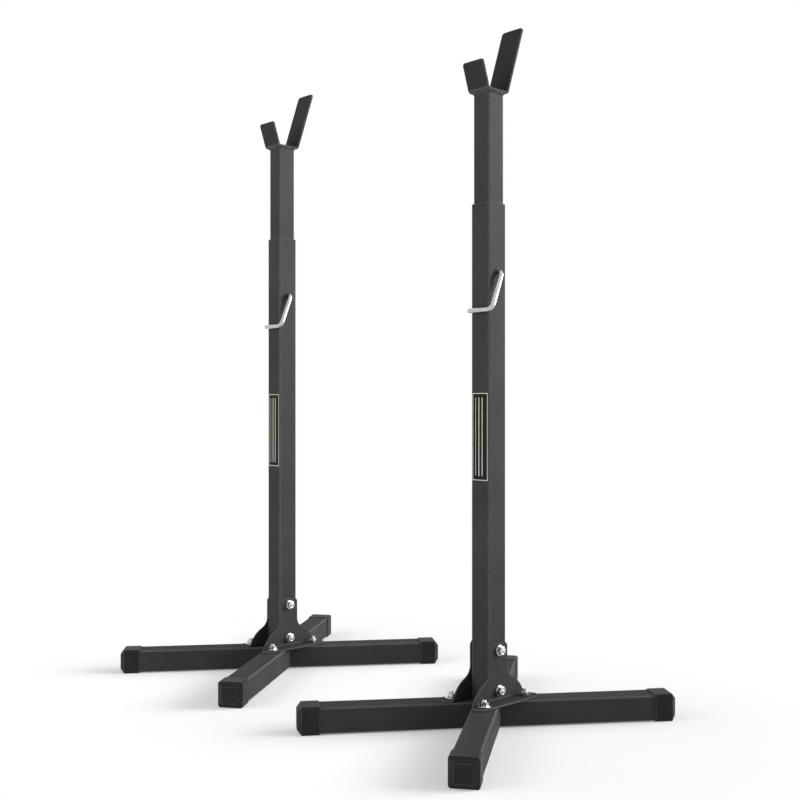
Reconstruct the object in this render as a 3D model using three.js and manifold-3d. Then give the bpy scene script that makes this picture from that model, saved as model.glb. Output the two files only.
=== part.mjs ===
// A pair of free-standing squat stands. Each has an X-shaped base of square tube with plastic
// end caps, an outer post bolted to the base by two bell-shaped brackets, an inner post that
// slides in it and is held by a bent steel pin, and a saddle of bent flat bar for the barbell.
//
// Millimetres, +Z up. X runs along the barbell from stand to stand, and the origin is on the
// floor midway between the two. The front (-Y) has the saddles' short arms, the back the long ones.

import * as THREE from "three";
import { mergeVertices } from "three/addons/utils/BufferGeometryUtils.js";
import Module from "manifold-3d";

const wasm = await Module();
wasm.setup();

// The pair
const standSpacing = 543.5;

// Square tubes
const legSize = 41;
const legWall = 2;
const legCorner = 3;
const legLength = 600;
const legAngle = THREE.MathUtils.degToRad(54.25);
const postSize = 40;
const postWall = 2;
const postCorner = 4;
const postLength = 794;
const mastGap = 0.5;
const mastWall = 2;
const mastCorner = 3.5;
const mastExposed = 177.5;

// Clearances
const seatGap = 0.3;
const boltGap = 0.5;
const pinGap = 0.5;
const cutOverrun = 5;

// End caps: a sleeve over the tube, closed by a chamfered end
const capWall = 1.5;
const capSleeve = 28;
const capEnd = 8;
const capCorner = 4.5;
const capChamferDepth = 7;
const capChamferInset = 8.5;

// Brackets
const bracketThickness = 2.5;
const bracketBend = 2;
const bracketRise = 92.4;
const bracketCorner = 7.5;
const flareInset = 12;
const flangeEnd = 23.7;
const flangeFront = 15;
const flangeCorner = 13;
const upperBoltRise = 81.1;
const lowerBoltRise = 17.1;

// Fasteners: M8 hexagon bolts, nuts and plain washers
const boltDiameter = 8;
const hexAcrossShare = 1.625;
const headHeightShare = 0.66;
const nutHeightShare = 0.75;
const washerDiameterShare = 2.15;
const footWasherDiameterShare = 2.7;
const washerThickness = 1.6;
const postBoltEnd = 1;
const footBoltEnd = 3.5;
const footBoltBeside = 10.7;
const accessMargin = 1.5;

// Height adjustment
const pinDiameter = 8;
const pinDrop = 109;
const holePitch = 40;
const mastStopGap = 61;
const mastEndMargin = 40;
const pinTipReach = 10;
const pinHandleReach = 9;
const pinHandleDrop = 62;
const pinTailGap = 0.4;
const pinTailReach = 1.5;
const pinBend = 10;

// Saddle
const saddleWidth = 43;
const saddleThickness = 4;
const saddleOverhang = 4.9;
const saddleBend = 4.5;
const saddleLean = THREE.MathUtils.degToRad(18.4);
const shortArmRise = 45.7;
const longArmRise = 115;
const tipCorner = 5;
const weldLeg = 3;
const weldEdge = 0.8;

// Facets: steps in each quarter turn of an outline, and sides of round pieces
const cornerSteps = 2;
const flareSteps = 5;
const bendSteps = 4;
const holeSides = 12;
const washerSides = 16;
const rodSides = 8;

// Places that follow from the sizes above
const legBottom = capWall + seatGap;
const legTop = legBottom + legSize;
const postBottom = legTop + seatGap;
const postTop = postBottom + postLength;
const bracketBottom = legTop + seatGap;
const flangeTop = bracketBottom + bracketThickness;
const plateInside = postSize / 2 + seatGap;
const plateOutside = plateInside + bracketThickness;
const boltHole = boltDiameter / 2 + boltGap;
const hexAcross = boltDiameter * hexAcrossShare;
const headHeight = boltDiameter * headHeightShare;
const nutHeight = boltDiameter * nutHeightShare;
const washerRadius = (boltDiameter * washerDiameterShare) / 2;
const footWasherRadius = (boltDiameter * footWasherDiameterShare) / 2;
const footBoltX = plateOutside + bracketBend + footBoltBeside;
const footBoltY = footBoltX * Math.tan(legAngle);
const footBoltReach = footBoltX / Math.cos(legAngle);
const postBoltHeights = { upper: bracketBottom + upperBoltRise, lower: bracketBottom + lowerBoltRise };
const pinHole = pinDiameter / 2 + pinGap;
const pinHeight = postTop - pinDrop;
const mastSize = postSize - 2 * (postWall + mastGap);
const mastTop = postTop + mastExposed;
const mastBottom = postBoltHeights.upper + mastStopGap;
const holeCount = Math.floor((pinHeight - mastBottom - mastEndMargin) / holePitch) + 1;

const powderCoat = new THREE.MeshStandardMaterial({
  name: "powder_coat",
  color: 0x2b2b2b,
  roughness: 0.55,
  metalness: 0.1,
  flatShading: true,
});
const capPlastic = new THREE.MeshStandardMaterial({
  name: "cap_plastic",
  color: 0x1f1f1f,
  roughness: 0.6,
  metalness: 0,
  flatShading: true,
});
const zincSteel = new THREE.MeshStandardMaterial({
  name: "zinc_steel",
  color: 0xb4b6b8,
  roughness: 0.35,
  metalness: 1,
  flatShading: true,
});
const pinSteel = new THREE.MeshStandardMaterial({
  name: "pin_steel",
  color: 0xc8cacc,
  roughness: 0.25,
  metalness: 1,
  flatShading: true,
});

// Geometry to solid and back, for cuts and joins
function solidOf(geometry) {
  const bare = geometry.clone();
  bare.deleteAttribute("normal");
  bare.deleteAttribute("uv");
  const merged = mergeVertices(bare);
  const triVerts = merged.index.array;
  return new wasm.Manifold(new wasm.Mesh({
    numProp: 3,
    vertProperties: new Float32Array(merged.attributes.position.array),
    triVerts: new Uint32Array(triVerts),
  }));
}

function geometryOf(solid) {
  const { vertProperties, triVerts } = solid.getMesh();
  const geometry = new THREE.BufferGeometry();
  geometry.setAttribute("position", new THREE.BufferAttribute(vertProperties, 3));
  geometry.setIndex(new THREE.BufferAttribute(triVerts, 1));
  geometry.computeVertexNormals();
  return geometry;
}

function extrude(shape, depth) {
  return new THREE.ExtrudeGeometry(shape, { depth, bevelEnabled: false, curveSegments: cornerSteps / 2 });
}

// A square outline with round corners, centred
function squareOutline(size, corner, Outline = THREE.Shape) {
  const inner = size / 2 - corner;
  const outline = new Outline();
  for (let quarter = 0; quarter < 4; quarter += 1) {
    const start = (quarter * Math.PI) / 2;
    const x = inner * Math.sign(Math.cos(start + Math.PI / 4));
    const y = inner * Math.sign(Math.sin(start + Math.PI / 4));
    outline.absarc(x, y, corner, start, start + Math.PI / 2, false);
  }
  outline.closePath();
  return outline;
}

// A square tube standing on z = 0
function squareTube(size, wall, corner, length) {
  const outline = squareOutline(size, corner);
  outline.holes.push(squareOutline(size - 2 * wall, Math.max(corner - wall, wall / 4), THREE.Path));
  return extrude(outline, length);
}

// Round bars for bolts and for the cuts they pass through
function barAlongX(radius, from, to, sides = holeSides) {
  const bar = new THREE.CylinderGeometry(radius, radius, to - from, sides);
  return bar.rotateZ(-Math.PI / 2).translate((from + to) / 2, 0, 0);
}

function barAlongZ(radius, from, to, sides = holeSides) {
  const bar = new THREE.CylinderGeometry(radius, radius, to - from, sides);
  return bar.rotateX(Math.PI / 2).translate(0, 0, (from + to) / 2);
}

// A hexagon's corners point to the front and back, or left and right
function hexAlongX(from, to) {
  return barAlongX(hexAcross / Math.sqrt(3), from, to, 6).rotateX(Math.PI / 2);
}

function hexAlongZ(from, to) {
  return barAlongZ(hexAcross / Math.sqrt(3), from, to, 6);
}

// A centre line of straight runs joined by round bends
function bentLine(corners, radius) {
  const line = [corners[0].clone()];
  for (let i = 1; i < corners.length - 1; i += 1) {
    const corner = corners[i];
    const back = corners[i - 1].clone().sub(corner).normalize();
    const ahead = corners[i + 1].clone().sub(corner).normalize();
    const half = back.angleTo(ahead) / 2;
    const middle = back.clone().add(ahead).normalize();
    const centre = corner.clone().addScaledVector(middle, radius / Math.sin(half));
    const first = corner.clone().addScaledVector(back, radius / Math.tan(half)).sub(centre);
    const last = corner.clone().addScaledVector(ahead, radius / Math.tan(half)).sub(centre);
    const turn = Math.PI - 2 * half;
    for (let step = 0; step <= bendSteps; step += 1) {
      const share = step / bendSteps;
      const spoke = first.clone().multiplyScalar(Math.sin((1 - share) * turn));
      spoke.addScaledVector(last, Math.sin(share * turn)).divideScalar(Math.sin(turn));
      line.push(spoke.add(centre));
    }
  }
  line.push(corners.at(-1).clone());
  return line;
}

// The outline of flat bar of one thickness bent along such a line, in the line's own plane
function bentSection(corners, radius, thickness) {
  const line = bentLine(corners.map(([x, y]) => new THREE.Vector3(x, y, 0)), radius);
  const sides = [[], []];
  line.forEach((point, i) => {
    const before = line[Math.max(i - 1, 0)];
    const after = line[Math.min(i + 1, line.length - 1)];
    const into = point.clone().sub(before).normalize();
    const out = after.clone().sub(point).normalize();
    const along = into.clone().add(out).normalize();
    const across = new THREE.Vector3(-along.y, along.x, 0);
    const reach = thickness / 2 / (i > 0 && i < line.length - 1 ? along.dot(out) : 1);
    sides[0].push(point.clone().addScaledVector(across, reach));
    sides[1].unshift(point.clone().addScaledVector(across, -reach));
  });
  return new THREE.Shape([...sides[0], ...sides[1]].map(({ x, y }) => new THREE.Vector2(x, y)));
}

// A round rod's path, with its rings only where the rod turns
class RodPath extends THREE.Curve {
  constructor(stations) {
    super();
    this.stations = stations;
  }

  getPoint(t, target = new THREE.Vector3()) {
    const place = t * (this.stations.length - 1);
    const index = Math.min(Math.floor(place), this.stations.length - 2);
    return target.lerpVectors(this.stations[index], this.stations[index + 1], place - index);
  }

  getUtoTmapping(u) {
    return u;
  }
}

function piece(name, geometry, material, height = 0) {
  const mesh = new THREE.Mesh(geometry, material);
  mesh.name = name;
  mesh.position.z = height;
  return mesh;
}

// Legs: one through tube and two shorter ones that butt against its sides

// Bolt holes in the top wall, and the larger holes below that let the heads in
function footBoltCuts(reaches) {
  const access = hexAcross / Math.sqrt(3) + accessMargin;
  return reaches.flatMap((x) => [
    solidOf(barAlongZ(boltHole, 0, legSize / 2 + cutOverrun).translate(x, 0, 0)),
    solidOf(barAlongZ(access, -legSize / 2 - cutOverrun, 0).translate(x, 0, 0)),
  ]);
}

function legTube(from, to, reaches) {
  const tube = squareTube(legSize, legWall, legCorner, to - from);
  tube.rotateY(Math.PI / 2).translate(from, 0, 0);
  return footBoltCuts(reaches).reduce((leg, cut) => leg.subtract(cut), solidOf(tube));
}

function longLeg() {
  return geometryOf(legTube(-legLength / 2, legLength / 2, [-footBoltReach, footBoltReach]));
}

function shortLeg() {
  const side = legSize + 2 * seatGap;
  const throughTube = new THREE.BoxGeometry(legLength, side, side).rotateZ(2 * legAngle);
  return geometryOf(legTube(0, legLength / 2, [footBoltReach]).subtract(solidOf(throughTube)));
}

// A cap lies along X with its open end at the origin
function legCap() {
  const size = legSize + 2 * (seatGap + capWall);
  const length = capSleeve + capEnd;
  const slope = capChamferInset / capChamferDepth;
  const sleeve = extrude(squareOutline(size, capCorner), length);
  const endHalf = size / 2 - capChamferInset;
  const wedge = new THREE.CylinderGeometry(
    endHalf * Math.SQRT2,
    (endHalf + slope * length) * Math.SQRT2,
    length,
    4,
  );
  wedge.rotateY(Math.PI / 4).rotateX(Math.PI / 2).translate(0, 0, length / 2);
  const pocketSize = legSize + 2 * seatGap;
  const pocket = extrude(squareOutline(pocketSize, legCorner + seatGap), capSleeve + seatGap + cutOverrun);
  pocket.translate(0, 0, -cutOverrun);
  const cap = solidOf(sleeve).intersect(solidOf(wedge)).subtract(solidOf(pocket));
  return geometryOf(cap).rotateY(Math.PI / 2);
}

// Posts
function crossHole(radius, height) {
  const reach = postSize / 2 + cutOverrun;
  return solidOf(barAlongX(radius, -reach, reach).translate(0, 0, height));
}

function outerPost() {
  let post = solidOf(squareTube(postSize, postWall, postCorner, postLength));
  post = post.subtract(crossHole(pinHole, pinHeight - postBottom));
  for (const height of Object.values(postBoltHeights)) {
    post = post.subtract(crossHole(boltHole, height - postBottom));
  }
  return geometryOf(post);
}

function innerPost() {
  let mast = solidOf(squareTube(mastSize, mastWall, mastCorner, mastTop - mastBottom));
  for (let hole = 0; hole < holeCount; hole += 1) {
    mast = mast.subtract(crossHole(pinHole, pinHeight - mastBottom - hole * holePitch));
  }
  return geometryOf(mast);
}

// The weld between saddle and inner post: a bevelled ring round the post's top, below z = 0
function saddleWeld() {
  const inner = mastSize / 2 + seatGap;
  const height = weldLeg + saddleThickness / 2;
  const ring = new THREE.CylinderGeometry(
    (inner + weldLeg) * Math.SQRT2,
    (inner + weldEdge) * Math.SQRT2,
    height,
    4,
  );
  ring.rotateY(Math.PI / 4).rotateX(Math.PI / 2).translate(0, 0, height / 2 - weldLeg);
  const post = extrude(squareOutline(2 * inner, mastCorner + seatGap), weldLeg + cutOverrun);
  return solidOf(ring).subtract(solidOf(post.translate(0, 0, -weldLeg - cutOverrun)));
}

// The saddle's floor lies on z = 0, with its short arm to the front and its long arm to the back
function barSaddle() {
  const floor = mastSize / 2 + saddleOverhang;
  const middle = saddleThickness / 2;
  const spread = (rise) => (rise - middle) * Math.tan(saddleLean);
  const section = bentSection(
    [
      [-floor - spread(shortArmRise), shortArmRise],
      [-floor, middle],
      [floor, middle],
      [floor + spread(longArmRise), longArmRise],
    ],
    saddleBend,
    saddleThickness,
  );
  const bar = extrude(section, saddleWidth).rotateX(Math.PI / 2).rotateZ(Math.PI / 2);
  bar.translate(-saddleWidth / 2, 0, 0);
  const shortTip = roundTop(saddleWidth, shortArmRise + middle * Math.sin(saddleLean), tipCorner);
  const longTip = roundTop(saddleWidth, longArmRise + middle * Math.sin(saddleLean), tipCorner);
  const depth = floor + spread(longArmRise) + saddleThickness;
  const front = extrude(shortTip, depth).rotateX(Math.PI / 2);
  const back = extrude(longTip, depth).rotateX(Math.PI / 2).translate(0, depth, 0);
  const tips = solidOf(front).add(solidOf(back));
  return geometryOf(solidOf(bar).intersect(tips).add(saddleWeld()));
}

// A plate outline with its two upper corners rounded, reaching below z = 0
function roundTop(width, top, corner) {
  const half = width / 2;
  const outline = new THREE.Shape();
  outline.moveTo(-half, -cutOverrun);
  outline.lineTo(half, -cutOverrun);
  outline.absarc(half - corner, top - corner, corner, 0, Math.PI / 2, false);
  outline.absarc(corner - half, top - corner, corner, Math.PI / 2, Math.PI, false);
  outline.closePath();
  return outline;
}

// Bracket: the plate's flare as shares of the way out to its foot and up to its top
const flareShares = {
  neck: [0, 0.58],
  neckPull: [0, 0.42],
  shoulder: [0.42, 0.34],
  shoulderPull: [0.83, 0.23],
};

function plateOutline(footHalf) {
  const neckHalf = postSize / 2;
  const place = ([out, up]) => [neckHalf + out * (footHalf - neckHalf), up * bracketRise];
  const upperCurve = new THREE.QuadraticBezierCurve(
    new THREE.Vector2(...place(flareShares.neck)),
    new THREE.Vector2(...place(flareShares.neckPull)),
    new THREE.Vector2(...place(flareShares.shoulder)),
  );
  const lowerCurve = new THREE.QuadraticBezierCurve(
    new THREE.Vector2(...place(flareShares.shoulder)),
    new THREE.Vector2(...place(flareShares.shoulderPull)),
    new THREE.Vector2(footHalf, bracketThickness),
  );
  const corner = new THREE.EllipseCurve(
    neckHalf - bracketCorner,
    bracketRise - bracketCorner,
    bracketCorner,
    bracketCorner,
    Math.PI / 2,
    0,
    true,
  );
  const half = [
    ...corner.getPoints(2 * cornerSteps),
    ...upperCurve.getPoints(flareSteps),
    ...lowerCurve.getPoints(flareSteps).slice(1),
    new THREE.Vector2(footHalf, -cutOverrun),
  ];
  const mirrored = half.map(({ x, y }) => new THREE.Vector2(-x, y)).reverse();
  return new THREE.Shape([...half, ...mirrored]);
}

// The flange's outline, seen from above, widens from the fold to round ends
function flangeOutline(footHalf, half, front) {
  const centre = new THREE.Vector2(front - flangeCorner, half - flangeCorner);
  const toFold = new THREE.Vector2(plateInside, footHalf).sub(centre);
  const start = toFold.angle() - Math.acos(Math.min(flangeCorner / toFold.length(), 1));
  const round = new THREE.EllipseCurve(
    centre.x,
    centre.y,
    flangeCorner,
    flangeCorner,
    start,
    0,
    true,
  );
  const end = [new THREE.Vector2(plateInside, footHalf), ...round.getPoints(3 * cornerSteps)];
  const mirrored = end.map(({ x, y }) => new THREE.Vector2(x, -y)).reverse();
  return new THREE.Shape([...end, ...mirrored]);
}

// A bracket stands on z = 0 with its plate on the +X side of the post
function bracket() {
  const footHalf = footBoltY + flangeEnd - flareInset;
  const half = footBoltY + flangeEnd;
  const front = footBoltX + flangeFront;
  const middle = bracketThickness / 2;
  const section = bentSection(
    [
      [plateInside + middle, bracketRise],
      [plateInside + middle, middle],
      [front + cutOverrun, middle],
    ],
    bracketBend + middle,
    bracketThickness,
  );
  const sheet = extrude(section, 2 * half).rotateX(Math.PI / 2).translate(0, half, 0);
  const plate = extrude(plateOutline(footHalf), plateOutside + bracketBend);
  plate.rotateX(Math.PI / 2).rotateZ(Math.PI / 2);
  const flange = extrude(flangeOutline(footHalf, half, front), bracketThickness + cutOverrun);
  flange.translate(0, 0, -cutOverrun);
  const holes = Object.values(postBoltHeights).map((height) => (
    solidOf(barAlongX(boltHole, 0, front).translate(0, 0, height - bracketBottom))
  ));
  for (const side of [-1, 1]) {
    const hole = barAlongZ(boltHole, -cutOverrun, bracketThickness + cutOverrun);
    holes.push(solidOf(hole.translate(footBoltX, side * footBoltY, 0)));
  }
  const outline = solidOf(plate).add(solidOf(flange));
  return geometryOf(holes.reduce((bent, hole) => bent.subtract(hole), solidOf(sheet).intersect(outline)));
}

// Fasteners of the post lie along X with the nut at +X
const washerStart = plateOutside + seatGap;
const nutStart = washerStart + washerThickness + seatGap;

function postBolt() {
  const shank = solidOf(barAlongX(boltDiameter / 2, -nutStart, nutStart + nutHeight + postBoltEnd));
  return geometryOf(shank.add(solidOf(hexAlongX(-nutStart - headHeight, -nutStart))));
}

function postNut() {
  const bore = solidOf(barAlongX(boltDiameter / 2 + seatGap, 0, nutStart + nutHeight + cutOverrun));
  return geometryOf(solidOf(hexAlongX(nutStart, nutStart + nutHeight)).subtract(bore));
}

function postWasher() {
  const disc = solidOf(barAlongX(washerRadius, washerStart, washerStart + washerThickness, washerSides));
  return geometryOf(disc.subtract(solidOf(barAlongX(boltHole, 0, washerStart + cutOverrun))));
}

// Fasteners of the feet stand along Z above the flange. The front nuts stand on a wide washer.
const footNutStart = flangeTop + seatGap;
const footBoltTop = footNutStart + washerThickness + nutHeight + footBoltEnd;

function footBolt() {
  const headTop = legTop - legWall - seatGap;
  const shank = solidOf(barAlongZ(boltDiameter / 2, headTop, footBoltTop));
  return geometryOf(shank.add(solidOf(hexAlongZ(headTop - headHeight, headTop))));
}

function footNut(hasWasher) {
  const nutTop = footNutStart + nutHeight + (hasWasher ? washerThickness : 0);
  const bore = solidOf(barAlongZ(boltDiameter / 2 + seatGap, 0, footBoltTop));
  let nut = solidOf(hexAlongZ(footNutStart, nutTop));
  if (hasWasher) {
    const washerTop = footNutStart + washerThickness;
    nut = nut.add(solidOf(barAlongZ(footWasherRadius, footNutStart, washerTop, washerSides)));
  }
  return geometryOf(nut.subtract(bore));
}

// The pin: a shank through both posts, a slanting handle, and a tail that hooks round the front
function heightPin() {
  const half = postSize / 2;
  const side = half + pinHandleReach;
  const tailY = -(half + pinTailGap + pinDiameter / 2);
  const line = bentLine(
    [
      new THREE.Vector3(-half - pinTipReach, 0, 0),
      new THREE.Vector3(side, 0, 0),
      new THREE.Vector3(side, tailY, -pinHandleDrop),
      new THREE.Vector3(-half - pinTailReach, tailY, -pinHandleDrop),
    ],
    pinBend,
  );
  const section = new THREE.Shape(
    Array.from({ length: rodSides }, (_, i) => {
      const turn = ((i + 0.5) * 2 * Math.PI) / rodSides;
      return new THREE.Vector2(Math.cos(turn), Math.sin(turn)).multiplyScalar(pinDiameter / 2);
    }),
  );
  return new THREE.ExtrudeGeometry(section, { steps: line.length - 1, extrudePath: new RodPath(line) });
}

// One stand, with its post's axis on the group's origin
const legCorners = [
  { corner: "rear_right", angle: legAngle, hasWasher: false },
  { corner: "front_left", angle: legAngle + Math.PI, hasWasher: true },
  { corner: "rear_left", angle: Math.PI - legAngle, hasWasher: false },
  { corner: "front_right", angle: -legAngle, hasWasher: true },
];

function base(side) {
  const group = new THREE.Group();
  const legs = [
    piece(`${side}_long_leg`, longLeg(), powderCoat, legBottom + legSize / 2),
    piece(`${side}_rear_leg`, shortLeg(), powderCoat, legBottom + legSize / 2),
    piece(`${side}_front_leg`, shortLeg(), powderCoat, legBottom + legSize / 2),
  ];
  legs[0].rotation.z = legAngle;
  legs[1].rotation.z = Math.PI - legAngle;
  legs[2].rotation.z = -legAngle;
  group.add(...legs);
  for (const { corner, angle, hasWasher } of legCorners) {
    const arm = new THREE.Group();
    arm.rotation.z = angle;
    const cap = piece(`${side}_cap_${corner}`, legCap(), capPlastic, legBottom + legSize / 2);
    const bolt = piece(`${side}_foot_bolt_${corner}`, footBolt(), zincSteel);
    const nut = piece(`${side}_foot_nut_${corner}`, footNut(hasWasher), zincSteel);
    cap.position.x = legLength / 2 - capSleeve;
    bolt.position.x = footBoltReach;
    nut.position.x = footBoltReach;
    arm.add(cap, bolt, nut);
    group.add(arm);
  }
  return group;
}

function postFixings(side) {
  const group = new THREE.Group();
  for (const [place, turn] of [["right", 0], ["left", Math.PI]]) {
    const plate = piece(`${side}_bracket_${place}`, bracket(), powderCoat, bracketBottom);
    plate.rotation.z = turn;
    group.add(plate);
  }
  for (const [row, height] of Object.entries(postBoltHeights)) {
    group.add(piece(`${side}_post_bolt_${row}`, postBolt(), zincSteel, height));
    group.add(piece(`${side}_post_nut_${row}`, postNut(), zincSteel, height));
    for (const [place, turn] of [["right", 0], ["left", Math.PI]]) {
      const washer = piece(`${side}_post_washer_${row}_${place}`, postWasher(), zincSteel, height);
      washer.rotation.z = turn;
      group.add(washer);
    }
  }
  return group;
}

function stand(side, x) {
  const group = new THREE.Group();
  group.position.x = x;
  group.add(base(side), postFixings(side));
  group.add(piece(`${side}_outer_post`, outerPost(), powderCoat, postBottom));
  group.add(piece(`${side}_inner_post`, innerPost(), powderCoat, mastBottom));
  group.add(piece(`${side}_bar_saddle`, barSaddle(), powderCoat, mastTop + seatGap));
  group.add(piece(`${side}_height_pin`, heightPin(), pinSteel, pinHeight));
  return group;
}

const squatStands = new THREE.Group();
squatStands.name = "squat_stands";
squatStands.add(stand("right", standSpacing / 2), stand("left", -standSpacing / 2));

export default squatStands;
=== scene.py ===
import math

import bmesh
import bpy
import numpy as np
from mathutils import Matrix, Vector


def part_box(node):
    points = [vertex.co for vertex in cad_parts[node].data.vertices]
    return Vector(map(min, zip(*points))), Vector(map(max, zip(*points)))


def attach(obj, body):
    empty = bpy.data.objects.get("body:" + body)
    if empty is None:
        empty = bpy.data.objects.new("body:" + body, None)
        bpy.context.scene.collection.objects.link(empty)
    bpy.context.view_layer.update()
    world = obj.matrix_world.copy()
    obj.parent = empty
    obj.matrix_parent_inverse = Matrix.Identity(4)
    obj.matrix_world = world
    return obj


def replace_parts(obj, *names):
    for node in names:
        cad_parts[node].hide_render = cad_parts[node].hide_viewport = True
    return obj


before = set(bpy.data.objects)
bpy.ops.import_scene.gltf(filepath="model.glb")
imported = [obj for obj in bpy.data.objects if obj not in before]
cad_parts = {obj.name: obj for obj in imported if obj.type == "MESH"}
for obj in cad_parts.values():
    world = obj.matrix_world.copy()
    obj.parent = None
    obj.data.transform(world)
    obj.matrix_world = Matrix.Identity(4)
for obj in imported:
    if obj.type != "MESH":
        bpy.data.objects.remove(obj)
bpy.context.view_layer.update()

MM = 0.001

# The camera stands where the picture was taken from and looks level
EYE = Vector((1.4709, -1.3330, 0.5227))
EYE_TURN = math.radians(46.53)
LENS = 50

camera = bpy.data.objects.new("camera", bpy.data.cameras.new("camera"))
camera.data.lens = LENS
camera.location = EYE
camera.rotation_euler = (math.radians(90), 0, EYE_TURN)
bpy.context.scene.collection.objects.link(camera)
bpy.context.scene.camera = camera

# Sizes read from the CAD objects
post_low, post_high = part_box("right_outer_post")
mast_low, mast_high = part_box("right_inner_post")
leg_low, leg_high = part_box("right_long_leg")
saddle_low, saddle_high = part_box("right_bar_saddle")
_, pin_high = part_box("right_height_pin")
nut_low, nut_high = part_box("right_post_nut_upper")
lower_nut_low, lower_nut_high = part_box("right_post_nut_lower")
washer_low, washer_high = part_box("right_post_washer_upper_right")
STAND_X = {side: sum(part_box(f"{side}_outer_post"), Vector()).x / 2 for side in ("right", "left")}
POST_HALF = (post_high.x - post_low.x) / 2
MAST_HALF = (mast_high.x - mast_low.x) / 2
LEG_HALF = (leg_high.z - leg_low.z) / 2
LEG_MIDDLE = (leg_high.z + leg_low.z) / 2

# How finely round shapes are cut
CORNER_STEPS = 8
ROUND_SIDES = 48
ROUND_TURNS = np.arange(ROUND_SIDES) * 2 * math.pi / ROUND_SIDES
ROD_SIDES = 28
BEND_STEPS = 12
EDGE_STEPS = 2
LEAST_CORNER = 0.4 * MM
SAME_PLACE = 1e-7
SHARP_ANGLE = math.radians(48)

# Square tubes
LEG_LENGTH = 600 * MM
LEG_ANGLE = math.radians(54.25)
LEG_CORNER = 3 * MM
POST_CORNER = 4 * MM
MAST_CORNER = 3.5 * MM
TUBE_WALL = 2 * MM
SAWN_EDGE = 0.35 * MM
SLANT_CORNER = 0.1 * MM
FIT_GAP = 0.3 * MM

# End caps
CAP_WALL = 1.5 * MM
CAP_SLEEVE = 28 * MM
CAP_END = 8 * MM
CAP_CORNER = 4.5 * MM
CAP_END_CORNER = 1.2 * MM
CAP_CHAMFER_DEPTH = 7 * MM
CAP_CHAMFER_INSET = 8.5 * MM
CAP_EDGE = 0.45 * MM
CAP_EDGE_STEPS = 3
CAP_LAST_RING = 1 * MM

# Brackets
SHEET = 2.5 * MM
SHEET_EDGE = 0.7 * MM
SHEET_BEND_INSIDE = 2 * MM
SHEET_BEND = SHEET_BEND_INSIDE + SHEET / 2
BRACKET_BOTTOM = post_low.z
BRACKET_RISE = 92.4 * MM
BRACKET_CORNER = 7.5 * MM
FLANGE_END = 23.7 * MM
FLANGE_FRONT = 15 * MM
FLANGE_CORNER = 13 * MM
PLATE_INSIDE = POST_HALF + FIT_GAP
PLATE_OUTSIDE = PLATE_INSIDE + SHEET
BEND_CLEARANCE = 0.3 * MM

# A bracket's flare: shares of its reach to the side and of the bracket's rise
FLARE_INSET = 12 * MM
FLARE = ((0, 0.58), (0, 0.42), (0.42, 0.34), (0.83, 0.23))
FLARE_STEPS = (14, 24)

# Fasteners
BOLT_RADIUS = 4 * MM
BOLT_HOLE = 4.5 * MM
BOLT_TIP_INSET = 0.95 * MM
THREAD_PITCH = 1.25 * MM
THREAD_DEPTH = 0.6 * MM
THREAD_TURNS = 7
THREAD_STEPS = 8
HEX_HALF = 6.5 * MM
HEX_FACE = 6.15 * MM
HEX_BLUNTING = 0.12 * MM
HEAD_HEIGHT = 5.28 * MM
NUT_HEIGHT = 6 * MM
NUT_BORE = 4.08 * MM
COUNTERSINK = 0.6 * MM
WASHER_RADIUS = (washer_high.z - washer_low.z) / 2
WASHER_THICKNESS = 1.6 * MM
WASHER_EDGE = 0.3 * MM
POST_BOLT_END = 1 * MM
FOOT_BOLT_END = 3.5 * MM
FOOT_WASHER_RADIUS = 10.8 * MM
FOOT_BOLT_X = PLATE_OUTSIDE + SHEET_BEND_INSIDE + 10.7 * MM
FOOT_BOLT_Y = FOOT_BOLT_X * math.tan(LEG_ANGLE)
FOOT_BOLT_REACH = FOOT_BOLT_X / math.cos(LEG_ANGLE)
FOOT_NUT_START = BRACKET_BOTTOM + SHEET + FIT_GAP
NUT_START = PLATE_OUTSIDE + 2 * FIT_GAP + WASHER_THICKNESS
POST_BOLT_HEIGHTS = {
    "upper": (nut_low.z + nut_high.z) / 2,
    "lower": (lower_nut_low.z + lower_nut_high.z) / 2,
}
ACCESS_HOLE = HEX_HALF / math.cos(math.pi / 6) + 1.5 * MM

# Height pin and its holes
PIN_RADIUS = 4 * MM
PIN_HOLE = 4.5 * MM
PIN_HEIGHT = pin_high.z - PIN_RADIUS
HOLE_PITCH = 40 * MM
HOLE_COUNT = 13
HOLE_FLARE = 0.35 * MM
PIN_TIP_REACH = 10 * MM
PIN_HANDLE_REACH = 9 * MM
PIN_HANDLE_DROP = 62 * MM
PIN_TAIL_GAP = 0.4 * MM
PIN_TAIL_REACH = 1.5 * MM
PIN_BEND = 10 * MM
PIN_END_ROUND = 2.8 * MM
PIN_END_STEPS = 5

# How far drills reach past what they go through
DRILL_OVER = 1 * MM
FLARED_DRILL_OVER = 4 * MM

# Saddle
BAR_THICKNESS = 4 * MM
BAR_HALF = (saddle_high.x - saddle_low.x) / 2
BAR_BEND = 4.5 * MM
BAR_LEAN = math.radians(18.4)
BAR_EDGE = 0.6 * MM
BAR_TIP_CORNER = 5 * MM
SADDLE_FLOOR_HALF = MAST_HALF + 4.9 * MM
SADDLE_UNDERSIDE = mast_high.z + FIT_GAP
SHORT_ARM_RISE = 45.7 * MM
LONG_ARM_RISE = 115 * MM

# Weld under the saddle
BEAD_LEG = 2.9 * MM
BEAD_OUT = 2.0 * MM
BEAD_GAP = 0.02 * MM
BEAD_TOP_GAP = 0.05 * MM
BEAD_ROOT = 0.3 * MM
BEAD_BULGE = 0.35 * MM
BEAD_STEPS = 7
BEAD_RIPPLES = 44
BEAD_RIPPLE_STEPS = 8
BEAD_RIPPLE_DEPTH = 0.16 * MM
BEAD_RIPPLE_POWER = 0.6
BEAD_RIPPLE_LEAN = 0.35

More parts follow.
